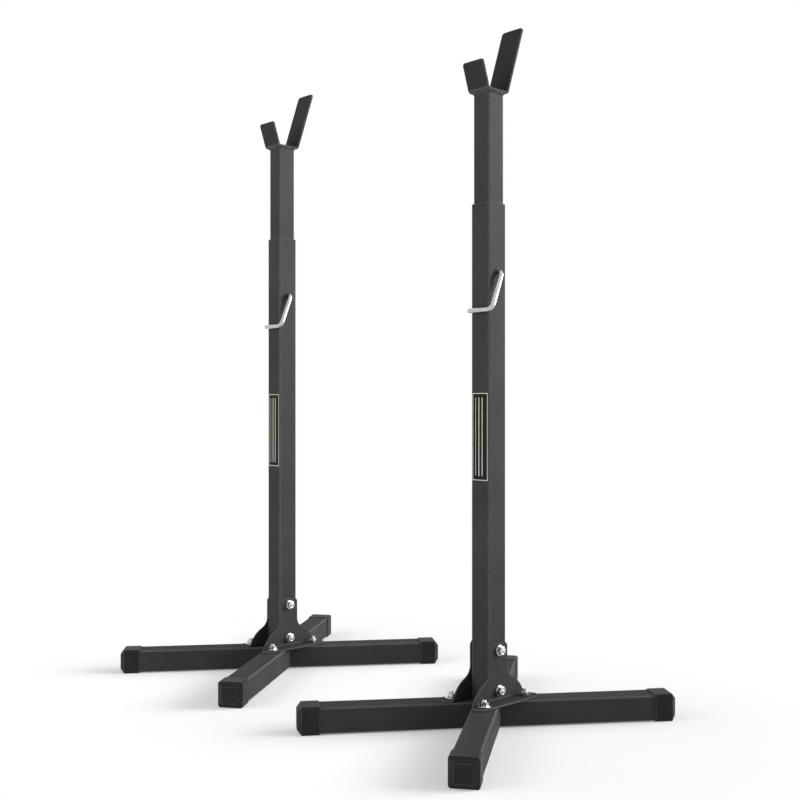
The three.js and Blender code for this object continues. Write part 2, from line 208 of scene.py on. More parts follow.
# Label on the front of each outer post, with stripes as (place across, width)
LABEL_WIDTH = 32.6 * MM
LABEL_LOW = 394 * MM
LABEL_HIGH = 534 * MM
LABEL_THICKNESS = 0.2 * MM
LABEL_MARGIN = 0.3 * MM
LABEL_LINE = 1.0 * MM
LABEL_STRIPES = ((-9.5 * MM, 0.8 * MM), (-2.5 * MM, 1.4 * MM), (4.5 * MM, 1.4 * MM))
LABEL_STRIPE_GAPS = 14 * MM
PRINT_THICKNESS = 0.05 * MM
PRINT_EDGE = 0.02 * MM

# A bend's steps are long edges that turn little, and a tube's rounded corners count too. Those over a share
# of the widest turn get a painted sheen: a pale painted highlight in the coat
LONG_EDGE = 25 * MM
SHARP_TURN = math.radians(20)
BEND_TURN_SHARE = 0.7
OUTER_BEND_SHEEN = 0.35

SQUARE = ((-1, -1), (1, -1), (1, 1), (-1, 1))


class Form:
    """Points and faces of one closed piece, or of several that belong together."""

    def __init__(self, points, faces):
        self.points = np.asarray(points, float)
        self.faces = faces

    def __add__(self, other):
        start = len(self.points)
        faces = self.faces + [tuple(start + i for i in face) for face in other.faces]
        return Form(np.vstack([self.points, other.points]), faces)

    def moved(self, x=0.0, y=0.0, z=0.0):
        return Form(self.points + (x, y, z), self.faces)

    def turned(self, angle):
        """Turned about the upright axis."""
        c, s = math.cos(angle), math.sin(angle)
        return Form(self.points @ np.array([[c, s, 0], [-s, c, 0], [0, 0, 1]]), self.faces)

    def laid_along_x(self):
        """What stood up along Z lies along X."""
        return Form(self.points[:, [2, 0, 1]], self.faces)


def together(forms):
    """Several forms as one."""
    return sum(forms[1:], forms[0])


def loft(rings, loop=False):
    """A skin over rings of equal count, closed to a loop or by flat ends."""
    rings = [np.asarray(ring, float) for ring in rings]
    count = len(rings[0])
    faces = []
    for i in range(len(rings) if loop else len(rings) - 1):
        here, there = i * count, (i + 1) % len(rings) * count
        for j in range(count):
            k = (j + 1) % count
            faces.append((here + j, here + k, there + k, there + j))
    if not loop:
        last = (len(rings) - 1) * count
        faces.append(tuple(range(count))[::-1])
        faces.append(tuple(range(last, last + count)))
    return Form(np.vstack(rings), faces)


def square_ring(half, corner, height):
    """Points round a square with round corners."""
    ring = []
    for quarter in range(4):
        start = quarter * math.pi / 2
        x = math.copysign(half - corner, math.cos(start + math.pi / 4))
        y = math.copysign(half - corner, math.sin(start + math.pi / 4))
        for turn in np.linspace(start, start + math.pi / 2, CORNER_STEPS + 1):
            ring.append((x + corner * math.cos(turn), y + corner * math.sin(turn), height))
    return ring


def round_ring(radius, height):
    """Points round the Z axis. Radius and height may be one number or one for each point."""
    flat = np.ones(ROUND_SIDES)
    return np.stack([radius * np.cos(ROUND_TURNS), radius * np.sin(ROUND_TURNS), height * flat], axis=1)


def rounded(corners, radius):
    """A closed outline in a plane with each corner rounded."""
    corners = [np.array(corner, float) for corner in corners]
    outline = []
    for i, corner in enumerate(corners):
        outline += round_corner(corners[i - 1], corner, corners[(i + 1) % len(corners)], radius, EDGE_STEPS)
    return outline


def round_corner(before, corner, after, radius, steps):
    """The arc that replaces a corner between two straight runs, in a plane or in space."""
    back = (before - corner) / np.linalg.norm(before - corner)
    ahead = (after - corner) / np.linalg.norm(after - corner)
    half = math.acos(np.clip(back @ ahead, -1, 1)) / 2
    middle = (back + ahead) / np.linalg.norm(back + ahead)
    centre = corner + middle * radius / math.sin(half)
    first = corner + back * radius / math.tan(half) - centre
    last = corner + ahead * radius / math.tan(half) - centre
    turn = math.pi - 2 * half
    shares = np.linspace(0, 1, steps + 1)
    return [
        centre + (first * math.sin((1 - share) * turn) + last * math.sin(share * turn)) / math.sin(turn)
        for share in shares
    ]


def bent_line(corners, radius, steps):
    """An open line through corners, with each corner between its ends rounded."""
    corners = [np.array(corner, float) for corner in corners]
    line = [corners[0]]
    for before, corner, after in zip(corners, corners[1:], corners[2:]):
        line += round_corner(before, corner, after, radius, steps)
    line.append(corners[-1])
    return np.array(line)


def cut(form, *cutters):
    """The form with every cutter taken out of it."""
    body = plain_object("cut_body", form)
    tool = plain_object("cut_tool", together(cutters))
    modifier = body.modifiers.new("cut", "BOOLEAN")
    modifier.operation = "DIFFERENCE"
    modifier.solver = "EXACT"
    modifier.object = tool
    bpy.context.view_layer.update()
    result = body.evaluated_get(bpy.context.evaluated_depsgraph_get()).to_mesh()
    points = [vertex.co[:] for vertex in result.vertices]
    faces = [tuple(face.vertices) for face in result.polygons]
    for spent in (body, tool):
        mesh = spent.data
        bpy.data.objects.remove(spent)
        bpy.data.meshes.remove(mesh)
    return Form(points, faces)


def mark_bend_sheen(piece):
    """Notes at a piece's points how pale a bend's coat is painted, a painted highlight: in full on the
    bend's hollow side, less on outer sides and rounded corners.
    """
    skin = bmesh.new()
    skin.from_mesh(piece.data)
    steps = [
        edge for edge in skin.edges
        if edge.calc_length() > LONG_EDGE and edge.calc_face_angle(0.0) < SHARP_TURN
    ]
    least = BEND_TURN_SHARE * max((edge.calc_face_angle() for edge in steps), default=0.0)
    marks = np.zeros(len(skin.verts), np.float32)
    for edge in steps:
        if edge.calc_face_angle() > least:
            for point in edge.verts:
                marks[point.index] = OUTER_BEND_SHEEN if edge.is_convex else 1.0
    skin.free()
    layer = piece.data.attributes.new("bend", "FLOAT", "POINT")
    layer.data.foreach_set("value", marks)


def plain_object(name, form):
    """A mesh object with its faces pointing out."""
    mesh = bpy.data.meshes.new(name)
    mesh.from_pydata(form.points.tolist(), [], form.faces)
    skin = bmesh.new()
    skin.from_mesh(mesh)
    bmesh.ops.remove_doubles(skin, verts=skin.verts, dist=SAME_PLACE)
    bmesh.ops.recalc_face_normals(skin, faces=skin.faces)
    skin.to_mesh(mesh)
    skin.free()
    piece = bpy.data.objects.new(name, mesh)
    bpy.context.scene.collection.objects.link(piece)
    return piece


def drill_along_x(radius, half, height):
    """A drill through a tube's two side walls, with a small countersink on each."""
    over = FLARED_DRILL_OVER
    rings = [
        round_ring(radius + HOLE_FLARE + over, -half - over),
        round_ring(radius, -half + HOLE_FLARE),
        round_ring(radius, half - HOLE_FLARE),
        round_ring(radius + HOLE_FLARE + over, half + over),
    ]
    return loft(rings).laid_along_x().moved(z=height)


def drill_along_z(radius, low, high, x=0.0, y=0.0):
    return loft([round_ring(radius, low), round_ring(radius, high)]).moved(x, y)


# Tubes


def square_tube(half, corner, low, high):
    """An upright square tube with its sawn ends eased."""
    wall = rounded([(0, low), (0, high), (TUBE_WALL, high), (TUBE_WALL, low)], SAWN_EDGE)
    rings = [square_ring(half - inset, max(corner - inset, LEAST_CORNER), z) for inset, z in wall]
    return loft(rings, loop=True)


def outer_post():
    drills = [drill_along_x(PIN_HOLE, POST_HALF, PIN_HEIGHT)]
    drills += [drill_along_x(BOLT_HOLE, POST_HALF, height) for height in POST_BOLT_HEIGHTS.values()]
    return cut(square_tube(POST_HALF, POST_CORNER, post_low.z, post_high.z), *drills)


def inner_post():
    drills = [
        drill_along_x(PIN_HOLE, MAST_HALF, PIN_HEIGHT - hole * HOLE_PITCH)
        for hole in range(HOLE_COUNT)
    ]
    return cut(square_tube(MAST_HALF, MAST_CORNER, mast_low.z, mast_high.z), *drills)


def leg_tube(start, reaches):
    """A leg along X, drilled above for its bolts and below for a socket to reach their heads."""
    tube = square_tube(LEG_HALF, LEG_CORNER, start, LEG_LENGTH / 2).laid_along_x().moved(z=LEG_MIDDLE)
    drills = []
    for reach in reaches:
        drills.append(drill_along_z(BOLT_HOLE, LEG_MIDDLE, leg_high.z + DRILL_OVER, reach))
        drills.append(drill_along_z(ACCESS_HOLE, leg_low.z - DRILL_OVER, LEG_MIDDLE, reach))
    return cut(tube, *drills)


def long_leg():
    return leg_tube(-LEG_LENGTH / 2, [-FOOT_BOLT_REACH, FOOT_BOLT_REACH])


def short_leg():
    """A leg with its inner end sawn at a slant to butt against the long one."""
    side = LEG_HALF + 2 * FIT_GAP
    slot = loft([square_ring(side, SLANT_CORNER, end * LEG_LENGTH / 2) for end in (-1, 1)])
    return cut(
        leg_tube(0, [FOOT_BOLT_REACH]),
        slot.laid_along_x().moved(z=LEG_MIDDLE).turned(2 * LEG_ANGLE),
    )


def leg_cap():
    """A moulded cap along X, open at its inner end, with a bevelled outer end."""
    half = LEG_HALF + FIT_GAP + CAP_WALL
    length = CAP_SLEEVE + CAP_END
    shrink = (CAP_CORNER - CAP_END_CORNER) / CAP_CHAMFER_INSET
    middle = half - CAP_LAST_RING
    outline = [
        (middle, CAP_SLEEVE + FIT_GAP),
        (CAP_WALL, CAP_SLEEVE + FIT_GAP),
        (CAP_WALL, 0),
        (0, 0),
        (0, length - CAP_CHAMFER_DEPTH),
        (CAP_CHAMFER_INSET, length),
        (middle, length),
    ]
    rings = []
    for inset, place in bent_line(outline, CAP_EDGE, CAP_EDGE_STEPS):
        corner = min(max(CAP_CORNER - shrink * inset, LEAST_CORNER), half - inset)
        rings.append(square_ring(half - inset, corner, place))
    return loft(rings).laid_along_x().moved(x=LEG_LENGTH / 2 - CAP_SLEEVE, z=LEG_MIDDLE)


# Bent sheet and bent bar


class Fold:
    """The middle line of a folded sheet, followed by its length from one end."""

    def __init__(self, corners, radius):
        self.line = bent_line(corners, radius, BEND_STEPS)
        starts = range(1, len(self.line) - 1, BEND_STEPS + 1)
        self.bends = [(start, start + BEND_STEPS) for start in starts]
        steps = np.linalg.norm(np.diff(self.line, axis=0), axis=1)
        self.run = np.concatenate([[0], np.cumsum(steps)])
        ways = np.diff(self.line, axis=0) / steps[:, None]
        ways = np.vstack([ways[:1], (ways[:-1] + ways[1:]) / 2, ways[-1:]])
        for first, last in self.bends:
            ways[first] = self.line[first] - self.line[first - 1]
            ways[last] = self.line[last + 1] - self.line[last]
        ways /= np.linalg.norm(ways, axis=1)[:, None]
        self.across = np.stack([-ways[:, 1], ways[:, 0]], axis=1)

    def place(self, run, height):
        """Points in the line's plane at lengths along it and heights off its middle."""
        point = np.stack([np.interp(run, self.run, self.line[:, i]) for i in range(2)], axis=1)
        across = np.stack([np.interp(run, self.run, self.across[:, i]) for i in range(2)], axis=1)
        across /= np.linalg.norm(across, axis=1)[:, None]
        return point + across * height

    def stations(self, bend):
        """Lengths of the steps in one bend."""
        first, last = self.bends[bend]
        return self.run[first:last + 1]


def inset_outline(ring, amount):
    """A closed outline moved in by an even amount, point for point."""
    before = ring - np.roll(ring, 1, axis=0)
    after = np.roll(ring, -1, axis=0) - ring
    area = np.sum(ring[:, 0] * np.roll(ring[:, 1], -1) - np.roll(ring[:, 0], -1) * ring[:, 1])
    side = math.copysign(1, area)
    normals = []
    for edge in (before, after):
        unit = edge / np.linalg.norm(edge, axis=1)[:, None]
        normals.append(side * np.stack([-unit[:, 1], unit[:, 0]], axis=1))
    joint = normals[0] + normals[1]
    return ring + amount * joint / (1 + np.sum(normals[0] * normals[1], axis=1))[:, None]


def folded_sheet(half_outline, fold, thickness, edge):
    """Sheet cut to an outline, given as (half width, length along the fold), and folded.

    Its points are (place in the fold's plane, width), and all its edges are rounded.
    """
    half_outline = np.array(half_outline)
    mirrored = half_outline[::-1] * (-1, 1)
    outline = np.vstack([half_outline, mirrored])
    count, rows = len(outline), len(half_outline)
    levels = []
    for turn in np.linspace(0, math.pi / 2, EDGE_STEPS + 1):
        levels.append((edge * (1 - math.sin(turn)), thickness / 2 - edge * (1 - math.cos(turn))))
    levels = levels + [(inset, -height) for inset, height in levels[::-1]]
    points = []
    for inset, height in levels:
        ring = inset_outline(outline, inset)
        flat = fold.place(ring[:, 1], height)
        points.append(np.column_stack([flat, ring[:, 0]]))
    skin = loft(points)
    faces = skin.faces[:-2]
    last = (len(levels) - 1) * count
    for start in (0, last):
        for i in range(rows - 1):
            faces.append((start + i, start + i + 1, start + count - 2 - i, start + count - 1 - i))
    return Form(skin.points, faces)


def round_tip(half, corner):
    """The round corner at a sheet's end, as (half width, length along the sheet)."""
    return [
        (half - corner * (1 - math.sin(turn)), corner * (1 - math.cos(turn)))
        for turn in np.linspace(0, math.pi / 2, CORNER_STEPS + 1)
    ]


def curve_through(start, pull, end, steps):
    """A curve from start to end, drawn towards a third point."""
    shares = np.linspace(0, 1, steps + 1)[:, None]
    start, pull, end = (np.array(place) for place in (start, pull, end))
    return (1 - shares) ** 2 * start + 2 * shares * (1 - shares) * pull + shares ** 2 * end


def bracket():
    """The bell-shaped bracket on the +X side of the post."""
    foot_half = FOOT_BOLT_Y + FLANGE_END - FLARE_INSET
    flange_half = FOOT_BOLT_Y + FLANGE_END
    front = FOOT_BOLT_X + FLANGE_FRONT
    middle = SHEET / 2
    plate_x = PLATE_INSIDE + middle
    fold = Fold([(plate_x, BRACKET_RISE), (plate_x, middle), (front, middle)], SHEET_BEND)
    bend_top = middle + SHEET_BEND
    bend_front = plate_x + SHEET_BEND

    reach = foot_half - POST_HALF
    flare = [(POST_HALF + out * reach, up * BRACKET_RISE) for out, up in FLARE]
    upper = curve_through(*flare[:3], FLARE_STEPS[0])
    lower = curve_through(flare[2], flare[3], (foot_half, SHEET), FLARE_STEPS[1])[1:]
    curve = np.vstack([upper, lower])
    width_at_bend = np.interp(-bend_top, -curve[:, 1], curve[:, 0])
    outline = round_tip(POST_HALF, BRACKET_CORNER)
    outline += [(width, BRACKET_RISE - z) for width, z in curve if z > bend_top + BEND_CLEARANCE]

    toe = np.array([front - FLANGE_CORNER, flange_half - FLANGE_CORNER])
    to_fold = np.array([PLATE_INSIDE, foot_half]) - toe
    distance = np.linalg.norm(to_fold)
    start = math.atan2(to_fold[1], to_fold[0]) - math.acos(FLANGE_CORNER / distance)
    tangent = toe + FLANGE_CORNER * np.array([math.cos(start), math.sin(start)])
    slant = (tangent[1] - foot_half) / (tangent[0] - PLATE_INSIDE)
    width_past_bend = foot_half + slant * (bend_front - PLATE_INSIDE)
    stations = fold.stations(0)
    for share, run in zip(np.linspace(0, 1, len(stations)), stations):
        outline.append((width_at_bend + share * (width_past_bend - width_at_bend), run))
    for turn in np.linspace(start, 0, 2 * CORNER_STEPS):
        x, y = toe + FLANGE_CORNER * np.array([math.cos(turn), math.sin(turn)])
        outline.append((y, stations[-1] + x - bend_front))

    sheet = folded_sheet(outline, fold, SHEET, SHEET_EDGE)
    plate = Form(sheet.points[:, [0, 2, 1]], sheet.faces)
    through_plate = drill_along_z(BOLT_HOLE, PLATE_INSIDE - DRILL_OVER, PLATE_OUTSIDE + DRILL_OVER)
    drills = [
        through_plate.laid_along_x().moved(z=height - BRACKET_BOTTOM)
        for height in POST_BOLT_HEIGHTS.values()
    ]
    drills += [
        drill_along_z(BOLT_HOLE, -DRILL_OVER, SHEET + DRILL_OVER, FOOT_BOLT_X, side * FOOT_BOLT_Y)
        for side in (-1, 1)
    ]
    return cut(plate, *drills).moved(z=BRACKET_BOTTOM)


def bar_saddle():
    """Flat bar bent to a short front arm, a floor and a long back arm."""
    middle = BAR_THICKNESS / 2
    short_out = (SHORT_ARM_RISE - middle) * math.tan(BAR_LEAN)
    long_out = (LONG_ARM_RISE - middle) * math.tan(BAR_LEAN)
    fold = Fold(
        [
            (-SADDLE_FLOOR_HALF - short_out, SHORT_ARM_RISE),
            (-SADDLE_FLOOR_HALF, middle),
            (SADDLE_FLOOR_HALF, middle),
            (SADDLE_FLOOR_HALF + long_out, LONG_ARM_RISE),
        ],
        BAR_BEND,
    )
    tip = round_tip(BAR_HALF, BAR_TIP_CORNER)
    outline = tip + [(BAR_HALF, run) for bend in range(2) for run in fold.stations(bend)]
    outline += [(width, fold.run[-1] - run) for width, run in tip[::-1]]
    bar = folded_sheet(outline, fold, BAR_THICKNESS, BAR_EDGE)
    return Form(bar.points[:, [2, 0, 1]], bar.faces).moved(z=SADDLE_UNDERSIDE)


def weld_bead():
    """The rippled weld round the inner post's top, under the saddle's floor."""
    inner = MAST_HALF + BEAD_GAP
    corner = MAST_CORNER
    straight = 2 * (inner - corner)
    arc = corner * math.pi / 2
    perimeter = 4 * (straight + arc)
    count = BEAD_RIPPLES * BEAD_RIPPLE_STEPS
    along = np.arange(count) / count * perimeter
    places, outs = [], []
    for run in along:
        quarter, rest = divmod(run, straight + arc)
        if rest < straight:
            place = np.array([inner, rest - straight / 2])
            out = np.array([1.0, 0.0])
        else:
            turn = (rest - straight) / corner
            out = np.array([math.cos(turn), math.sin(turn)])
            place = np.array([inner - corner, straight / 2]) + corner * out
        c, s = math.cos(quarter * math.pi / 2), math.sin(quarter * math.pi / 2)
        spin = np.array([[c, -s], [s, c]])
        places.append(spin @ place)
        outs.append(spin @ out)
    places, outs = np.array(places), np.array(outs)
    top = SADDLE_UNDERSIDE - BEAD_TOP_GAP

    def ring(out, drop):
        """Points round the post, moved out from it and down."""
        return np.column_stack([places + outs * out, np.full(count, top - drop)])

    rings = [ring(0, 0)]
    for share in np.linspace(0, 1, BEAD_STEPS):
        swell = math.sin(math.pi * share)
        phase = along / perimeter * BEAD_RIPPLES - BEAD_RIPPLE_LEAN * swell
        wave = np.abs(np.sin(math.pi * phase)) ** BEAD_RIPPLE_POWER
        ripple = BEAD_RIPPLE_DEPTH * wave * swell ** 0.5
        bulge = BEAD_BULGE * swell
        reach = BEAD_OUT * (1 - share) + bulge + ripple
        drop = BEAD_LEG * share + bulge * math.cos(share * math.pi / 2)
        rings.append(ring((BEAD_GAP + reach)[:, None], drop))
    rings += [ring(-BEAD_ROOT, BEAD_LEG), ring(-BEAD_ROOT, 0)]
    return loft(rings, loop=True)


# Fasteners


def hex_radius():
    """How far a hexagon reaches at each point of a ring, with its corners just blunted."""
    reach = HEX_HALF / np.cos(ROUND_TURNS % (math.pi / 3) - math.pi / 6)
    return np.minimum(reach, HEX_HALF / math.cos(math.pi / 6) - HEX_BLUNTING)


def hex_drop():
    """How far the turned bevel comes down each side of a hexagon."""
    return (hex_radius() - HEX_FACE) * math.tan(math.pi / 6)


def hex_nut():
    """A nut on z = 0 with both faces bevelled and its bore countersunk."""
    mouth = NUT_BORE + COUNTERSINK
    return loft(
        [
            round_ring(NUT_BORE, COUNTERSINK),
            round_ring(mouth, 0),
            round_ring(HEX_FACE, 0),
            round_ring(hex_radius(), hex_drop()),
            round_ring(hex_radius(), NUT_HEIGHT - hex_drop()),
            round_ring(HEX_FACE, NUT_HEIGHT),
            round_ring(mouth, NUT_HEIGHT),
            round_ring(NUT_BORE, NUT_HEIGHT - COUNTERSINK),
        ],
        loop=True,
    )


def washer(outer):
    """A plain washer on z = 0."""
    section = rounded(
        [(BOLT_HOLE, 0), (BOLT_HOLE, WASHER_THICKNESS), (outer, WASHER_THICKNESS), (outer, 0)],
        WASHER_EDGE,
    )
    return loft([round_ring(radius, z) for radius, z in section], loop=True)


def hex_bolt(length):
    """A bolt with its head's underside on z = 0 and a thread at its end."""
    turn = np.arange(ROUND_SIDES) / ROUND_SIDES
    thread_start = length - THREAD_TURNS * THREAD_PITCH
    rings = [
        round_ring(HEX_FACE / 2, -HEAD_HEIGHT),
        round_ring(HEX_FACE, -HEAD_HEIGHT),
        round_ring(hex_radius(), hex_drop() - HEAD_HEIGHT),
        round_ring(hex_radius(), 0),
        round_ring(BOLT_RADIUS, 0),
        round_ring(BOLT_RADIUS, thread_start),
    ]
    for step in range(1, THREAD_TURNS * THREAD_STEPS + 1):
        z = thread_start + step * THREAD_PITCH / THREAD_STEPS
        groove = 1 - np.abs(2 * ((z / THREAD_PITCH - turn) % 1) - 1)
        depth = THREAD_DEPTH * min(step / THREAD_STEPS, 1) * groove
        lead = BOLT_RADIUS - BOLT_TIP_INSET + (length - z)
        rings.append(round_ring(np.minimum(BOLT_RADIUS - depth, lead), z))
    rings.append(round_ring(BOLT_RADIUS / 2, length))
    return loft(rings)


def post_bolt():
    return hex_bolt(2 * NUT_START + NUT_HEIGHT + POST_BOLT_END).moved(z=-NUT_START).laid_along_x()


def post_nut():
    return hex_nut().moved(z=NUT_START).laid_along_x()


def post_washer():
    return washer(WASHER_RADIUS).moved(z=PLATE_OUTSIDE + FIT_GAP).laid_along_x()


def foot_bolt():
    head_top = leg_high.z - TUBE_WALL - FIT_GAP
    end = FOOT_NUT_START + WASHER_THICKNESS + NUT_HEIGHT + FOOT_BOLT_END
    return hex_bolt(end - head_top).turned(math.pi / 2).moved(FOOT_BOLT_REACH, 0, head_top)


def foot_nut(has_washer):
    nut = hex_nut().turned(math.pi / 2)
    if has_washer:
        nut = washer(FOOT_WASHER_RADIUS) + nut.moved(z=WASHER_THICKNESS)
    return nut.moved(FOOT_BOLT_REACH, 0, FOOT_NUT_START)


# The pin


def pin_line():
    """The pin's middle line: through both posts, down a slanting handle, and round the front."""
    side = POST_HALF + PIN_HANDLE_REACH
    tail_y = -(POST_HALF + PIN_TAIL_GAP + PIN_RADIUS)
    corners = [
        (-POST_HALF - PIN_TIP_REACH, 0, 0),
        (side, 0, 0),
        (side, tail_y, -PIN_HANDLE_DROP),
        (-POST_HALF - PIN_TAIL_REACH, tail_y, -PIN_HANDLE_DROP),
    ]
    return bent_line(corners, PIN_BEND, BEND_STEPS) + (0, 0, PIN_HEIGHT)


def height_pin():
    """The bent rod with rounded ends, and for each point its place along and round the rod."""
    line = pin_line()
    ways = np.diff(line, axis=0)
    ways /= np.linalg.norm(ways, axis=1)[:, None]
    nose = [
        (PIN_END_ROUND * (1 - math.sin(turn)), PIN_RADIUS - PIN_END_ROUND * (1 - math.cos(turn)))
        for turn in np.linspace(0, math.pi / 2, PIN_END_STEPS + 1)[::-1]
    ]
    stations = [(line[0] + ways[0] * back, radius, ways[0]) for back, radius in nose]
    for centre, before, after in zip(line[1:], ways, ways[1:]):
        way = before + after
        stations.append((centre, PIN_RADIUS, way / np.linalg.norm(way)))
    stations += [(line[-1] - ways[-1] * back, radius, ways[-1]) for back, radius in nose[::-1]]

    turn = np.arange(ROD_SIDES) * 2 * math.pi / ROD_SIDES
    side = np.array([0.0, 0.0, 1.0])
    rings, grain = [], []
    run, last = 0.0, line[0]
    for centre, radius, way in stations:
        side = side - way * (side @ way)
        side /= np.linalg.norm(side)
        other = np.cross(way, side)
        rings.append(centre + radius * (np.outer(np.cos(turn), side) + np.outer(np.sin(turn), other)))
        run += np.linalg.norm(centre - last)
        last = centre
        grain.append(np.column_stack([np.full(ROD_SIDES, run), np.cos(turn), np.sin(turn)]))
    return loft(rings), np.vstack(grain)


# Materials


# Sockets of the node that mixes colours
MIX_SHARE, MIX_FIRST, MIX_SECOND, MIX_COLOUR = 0, 6, 7, 2

EDGE_MASK_SAMPLES = 6

# Colours
COAT_DEEP = (0.038, 0.038, 0.0387, 1)
COAT_DUSTY = (0.046, 0.046, 0.0467, 1)
COAT_FLECK = (0.11, 0.11, 0.112, 1)
COAT_BEND_SHEEN = (0.19, 0.19, 0.192, 1)
COAT_RUB_AND_HIGHLIGHT = (0.34, 0.34, 0.343, 1)
CAP_DEEP = (0.017, 0.017, 0.0174, 1)
CAP_DUSTY = (0.022, 0.022, 0.0224, 1)
CAP_RUB_AND_HIGHLIGHT = (0.30, 0.30, 0.302, 1)
ZINC_COLD = (0.58, 0.585, 0.595, 1)
ZINC_WARM = (0.68, 0.68, 0.675, 1)
ZINC_GRIME = (0.24, 0.24, 0.24, 1)
PIN_COLD = (0.46, 0.465, 0.475, 1)
PIN_PALE = (0.56, 0.56, 0.56, 1)
VINYL_DEEP = (0.008, 0.008, 0.009, 1)
VINYL_PALE = (0.013, 0.013, 0.014, 1)
INK_WHITE = (0.70, 0.70, 0.70, 1)
INK_YELLOW = (0.72, 0.71, 0.45, 1)
INK_WORN = (0.28, 0.28, 0.26, 1)

# How far a colour gives way to fleck, grime, painted sheen in a bend, or rubbing with its painted edge
# highlight, and the least of it between patches
FLECK_SHARE = 0.35
GRIME_SHARE = 0.35
RUB_AND_HIGHLIGHT_SHARE = 0.9
RUB_AND_HIGHLIGHT_LEAST = 0.5
BEND_SHEEN_LEAST = 0.65

# Roughness, and what clouds, grain and dirt add to it and rubbing takes off
COAT_ROUGHNESS = 0.65
CAP_ROUGHNESS = 0.42
ZINC_ROUGHNESS = 0.14
PIN_ROUGHNESS = 0.20
VINYL_ROUGHNESS = 0.44
PRINT_ROUGHNESS = 0.42
CLOUD_ROUGHNESS = 0.08
GRAIN_ROUGHNESS = 0.06
DIRT_ROUGHNESS = 0.12
SMEAR_ROUGHNESS = 0.10
RUB_POLISH = 0.3

# The saddle's coat is painted about a quarter darker: painted shade over the whole saddle
SADDLE_PAINTED_SHADE = 0.74

# Stretched noise: tool marks across Z, and lines along the rod
TOOL_MARKS = (900, 900, 5200)
ROD_LINES = (60, 14, 14)
ROD_SMEAR = (90, 1.6, 1.6)

# The print is white below this height and yellow above it
INK_TURN = 448 * MM
INK_TURN_HALF = 0.5 * MM


class Shade:
    """A node's output, on which arithmetic adds Math nodes."""

    def __init__(self, paint, socket):
        self.paint = paint
        self.socket = socket

    def maths(self, operation, first, second):
        return self.paint.node("ShaderNodeMath", {"operation": operation}, {0: first, 1: second})

    def __add__(self, other):
        return self.maths("ADD", self, other)

    def __radd__(self, other):
        return self.maths("ADD", other, self)

    def __sub__(self, other):
        return self.maths("SUBTRACT", self, other)

    def __rsub__(self, other):
        return self.maths("SUBTRACT", other, self)

    def __mul__(self, other):
        return self.maths("MULTIPLY", self, other)

    def between(self, low, high):
        """0 below low, 1 above high, and a smooth rise between."""
        settings = {"interpolation_type": "SMOOTHSTEP"}
        return self.paint.node("ShaderNodeMapRange", settings, {0: self, 1: low, 2: high, 3: 0.0, 4: 1.0})

    def at_least(self, least):
        """What runs from 0 to 1 squeezed to run from the least to 1."""
        return least + self * (1 - least)


class Paint:
    """Nodes of one material or of the world."""

    def __init__(self, tree):
        self.tree = tree
        tree.nodes.clear()

    def node(self, kind, settings=None, inputs=None, output=0):
        """One node: its settings first, then its sockets. Gives the output asked for."""
        made = self.tree.nodes.new(kind)
        for key, value in (settings or {}).items():
            setattr(made, key, value)
        for key, value in (inputs or {}).items():
            if isinstance(value, Shade):
                self.tree.links.new(value.socket, made.inputs[key])
            else:
                made.inputs[key].default_value = value
        return Shade(self, made.outputs[output])

    def place(self):
        """Where a point is on the piece, in metres."""
        return self.node("ShaderNodeTexCoord", output="Object")

    def noise(self, vector, scale=1.0, detail=2.0, roughness=0.5):
        return self.node(
            "ShaderNodeTexNoise",
            inputs={"Vector": vector, "Scale": scale, "Detail": detail, "Roughness": roughness},
        )

    def stretched(self, vector, scale):
        return self.node("ShaderNodeVectorMath", {"operation": "MULTIPLY"}, {0: vector, 1: scale})

    def mixed(self, share, first, second):
        """A colour between two others."""
        inputs = {MIX_SHARE: share, MIX_FIRST: first, MIX_SECOND: second}
        return self.node("ShaderNodeMix", {"data_type": "RGBA"}, inputs, MIX_COLOUR)

    def bumped(self, height, strength, distance, below=None):
        """A normal that follows a height, on top of the one below it."""
        inputs = {"Height": height, "Strength": strength, "Distance": distance}
        if below:
            inputs["Normal"] = below
        return self.node("ShaderNodeBump", inputs=inputs)

    def worn_and_highlit_edges(self, radius):
        """1 on sharp edges and 0 on open faces: for rubbed wear and a painted highlight along edges."""
        soft = self.node("ShaderNodeBevel", {"samples": EDGE_MASK_SAMPLES}, {"Radius": radius})
        true = self.node("ShaderNodeNewGeometry", output="True Normal")
        facing = self.node("ShaderNodeVectorMath", {"operation": "DOT_PRODUCT"}, {0: soft, 1: true}, "Value")
        return (1 - facing).between(low=0.008, high=0.07)

    def surface(self, **sockets):
        """The finished surface. A name's underscores stand for spaces."""
        inputs = {key.replace("_", " "): value for key, value in sockets.items()}
        return self.node("ShaderNodeBsdfPrincipled", inputs=inputs)

    def output(self, shader, kind="ShaderNodeOutputMaterial"):
        end = self.tree.nodes.new(kind)
        self.tree.links.new(shader.socket, end.inputs["Surface"])


def new_paint(name):
    material = bpy.data.materials.new(name)
    material.use_nodes = True
    return material, Paint(material.node_tree)


